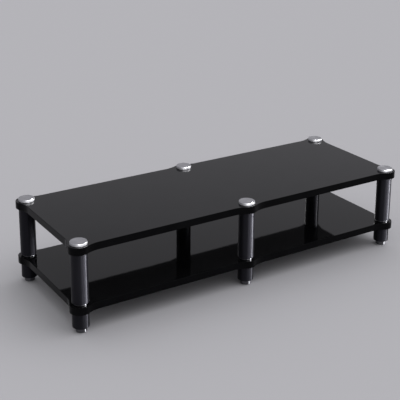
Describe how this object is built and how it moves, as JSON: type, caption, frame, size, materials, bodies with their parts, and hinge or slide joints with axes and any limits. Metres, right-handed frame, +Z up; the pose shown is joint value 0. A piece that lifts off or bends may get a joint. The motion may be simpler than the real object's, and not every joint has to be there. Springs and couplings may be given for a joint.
{
  "type": "media stand",
  "caption": "Long low media stand: a lacquered lower board and upper board with rounded ears, held by round columns, metal caps and levelling feet.",
  "frame": {"origin": "on the floor, below the middle of the stand", "axes": "+X along the front to the right, -Y out of the front, +Z up"},
  "size_m": [1.6918, 0.6198, 0.39],
  "materials": {
    "lacquered_board": "piano-black high-gloss lacquer on fibreboard",
    "black_tube": "gloss black lacquer on steel tube",
    "satin_aluminium": "satin, turned",
    "black_chrome": "black chrome plate, ground and polished",
    "zinc_plated_steel": "bright zinc plate",
    "soft_washer": "matt black",
    "foot_rubber": "matt dark grey"
  },
  "bodies": {
    "stand": {"lower_shelf": "lacquered_board", "upper_shelf": "lacquered_board", "cap_front_left": "satin_aluminium", "cap_front_middle": "satin_aluminium", "cap_front_right": "satin_aluminium", "cap_back_left": "satin_aluminium", "cap_back_middle": "satin_aluminium", "cap_back_right": "satin_aluminium", "column_front_left": "black_tube", "column_front_middle": "black_tube", "column_front_right": "black_tube", "column_back_left": "black_tube", "column_back_middle": "black_tube", "column_back_right": "black_tube", "column_disc_front_left": "black_chrome", "column_disc_front_middle": "black_chrome", "column_disc_front_right": "black_chrome", "column_disc_back_left": "black_chrome", "column_disc_back_middle": "black_chrome", "column_disc_back_right": "black_chrome", "leg_front_left": "black_tube", "leg_front_middle": "black_tube", "leg_front_right": "black_tube", "leg_back_left": "black_tube", "leg_back_middle": "black_tube", "leg_back_right": "black_tube", "cap_studs": "zinc_plated_steel", "joining_studs": "zinc_plated_steel", "column_top_plugs": "zinc_plated_steel", "column_bottom_plugs": "zinc_plated_steel", "leg_top_plugs": "zinc_plated_steel", "leg_bottom_plugs": "zinc_plated_steel", "cap_washers": "soft_washer", "column_top_washers": "soft_washer", "disc_washers": "soft_washer", "leg_top_washers": "soft_washer"},
    "levelling_foot_front_left": {"foot_front_left": "black_chrome", "foot_stud_front_left": "zinc_plated_steel", "foot_pad_front_left": "foot_rubber"},
    "levelling_foot_front_middle": {"foot_front_middle": "black_chrome", "foot_stud_front_middle": "zinc_plated_steel", "foot_pad_front_middle": "foot_rubber"},
    "levelling_foot_front_right": {"foot_front_right": "black_chrome", "foot_stud_front_right": "zinc_plated_steel", "foot_pad_front_right": "foot_rubber"},
    "levelling_foot_back_left": {"foot_back_left": "black_chrome", "foot_stud_back_left": "zinc_plated_steel", "foot_pad_back_left": "foot_rubber"},
    "levelling_foot_back_middle": {"foot_back_middle": "black_chrome", "foot_stud_back_middle": "zinc_plated_steel", "foot_pad_back_middle": "foot_rubber"},
    "levelling_foot_back_right": {"foot_back_right": "black_chrome", "foot_stud_back_right": "zinc_plated_steel", "foot_pad_back_right": "foot_rubber"}
  },
  "joints": [
    {"name": "level_front_left", "type": "slide", "parent": "stand", "child": "levelling_foot_front_left", "axis": [0, 0, -1], "range_m": [-0.004, 0.012]},
    {"name": "level_front_middle", "type": "slide", "parent": "stand", "child": "levelling_foot_front_middle", "axis": [0, 0, -1], "range_m": [-0.004, 0.012]},
    {"name": "level_front_right", "type": "slide", "parent": "stand", "child": "levelling_foot_front_right", "axis": [0, 0, -1], "range_m": [-0.004, 0.012]},
    {"name": "level_back_left", "type": "slide", "parent": "stand", "child": "levelling_foot_back_left", "axis": [0, 0, -1], "range_m": [-0.004, 0.012]},
    {"name": "level_back_middle", "type": "slide", "parent": "stand", "child": "levelling_foot_back_middle", "axis": [0, 0, -1], "range_m": [-0.004, 0.012]},
    {"name": "level_back_right", "type": "slide", "parent": "stand", "child": "levelling_foot_back_right", "axis": [0, 0, -1], "range_m": [-0.004, 0.012]}
  ]
}
